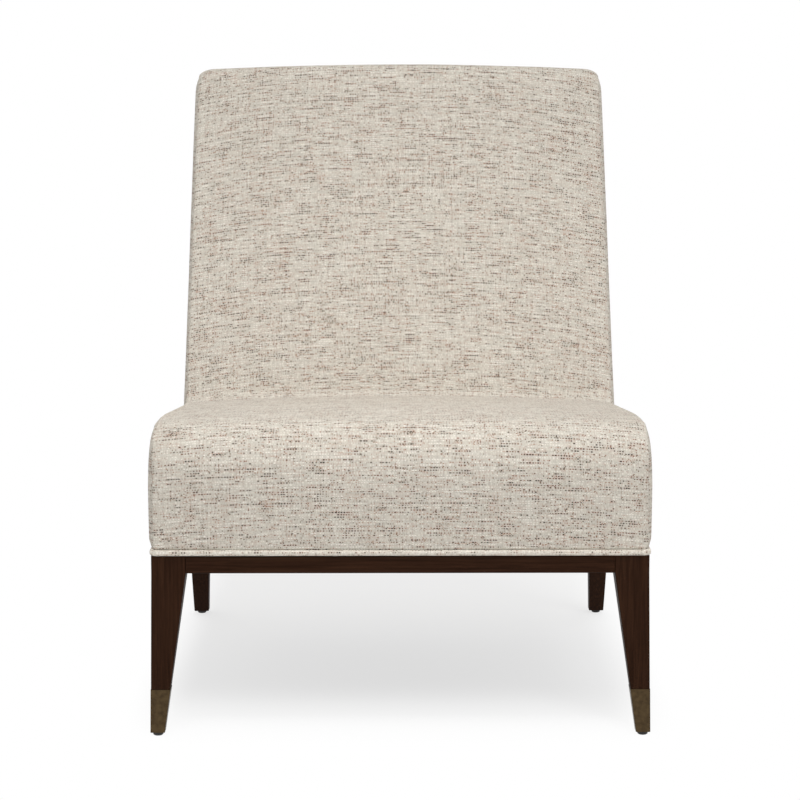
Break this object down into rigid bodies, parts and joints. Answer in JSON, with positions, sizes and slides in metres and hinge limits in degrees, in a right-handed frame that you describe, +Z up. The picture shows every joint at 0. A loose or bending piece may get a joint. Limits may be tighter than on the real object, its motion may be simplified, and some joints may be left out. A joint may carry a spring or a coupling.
{
  "type": "slipper chair",
  "caption": "Armless upholstered slipper chair with a raked padded back, fabric covers with a welt, and a wood base on tapered legs with metal ferrules in front.",
  "frame": {"origin": "on the floor, below the centre of the chair's bounding box", "axes": "+Z up; -Y is the way the chair faces; +X to the right as seen from in front"},
  "size_m": [0.675, 0.8006, 0.8928],
  "materials": {
    "espresso_wood": "satin",
    "frame_wood": "matte",
    "antique_bronze": "satin",
    "glide_plastic": "matte",
    "zinc_steel": "satin",
    "spring_steel": "satin",
    "slub_tweed": "matte",
    "foam": "matte",
    "felt": "matte",
    "burlap": "matte",
    "webbing": "matte",
    "black_cambric": "matte"
  },
  "bodies": {
    "root": {"back_foam": "foam", "back_lower_rail": "frame_wood", "back_post_left": "frame_wood", "back_post_right": "frame_wood", "back_side_padding_left": "felt", "back_side_padding_right": "felt", "back_top_rail": "frame_wood", "back_webbing_1": "webbing", "back_webbing_2": "webbing", "back_webbing_3": "webbing", "base_corner_block_front_left": "frame_wood", "base_corner_block_front_right": "frame_wood", "base_corner_block_rear_left": "frame_wood", "base_corner_block_rear_right": "frame_wood", "base_rail_front": "espresso_wood", "base_rail_left": "espresso_wood", "base_rail_rear": "espresso_wood", "base_rail_right": "espresso_wood", "base_screw_front_left": "zinc_steel", "base_screw_front_right": "zinc_steel", "base_screw_rear_left": "zinc_steel", "base_screw_rear_right": "zinc_steel", "deck_cloth": "burlap", "dust_cover": "black_cambric", "ferrule_left": "antique_bronze", "ferrule_right": "antique_bronze", "front_cover": "slub_tweed", "front_leg_left": "espresso_wood", "front_leg_right": "espresso_wood", "glide_front_left": "glide_plastic", "glide_front_right": "glide_plastic", "glide_rear_left": "glide_plastic", "glide_rear_right": "glide_plastic", "outside_back_cover": "slub_tweed", "rear_leg_left": "espresso_wood", "rear_leg_right": "espresso_wood", "seat_corner_block_left": "frame_wood", "seat_corner_block_right": "frame_wood", "seat_foam": "foam", "seat_rail_front": "frame_wood", "seat_rail_left": "frame_wood", "seat_rail_rear": "frame_wood", "seat_rail_right": "frame_wood", "seat_side_padding_left": "felt", "seat_side_padding_right": "felt", "seat_spring_1": "spring_steel", "seat_spring_2": "spring_steel", "seat_spring_3": "spring_steel", "seat_spring_4": "spring_steel", "side_cover_left": "slub_tweed", "side_cover_right": "slub_tweed", "spring_clip_front_1": "zinc_steel", "spring_clip_front_2": "zinc_steel", "spring_clip_front_3": "zinc_steel", "spring_clip_front_4": "zinc_steel", "spring_clip_rear_1": "zinc_steel", "spring_clip_rear_2": "zinc_steel", "spring_clip_rear_3": "zinc_steel", "spring_clip_rear_4": "zinc_steel", "welt": "slub_tweed"}
  },
  "joints": []
}
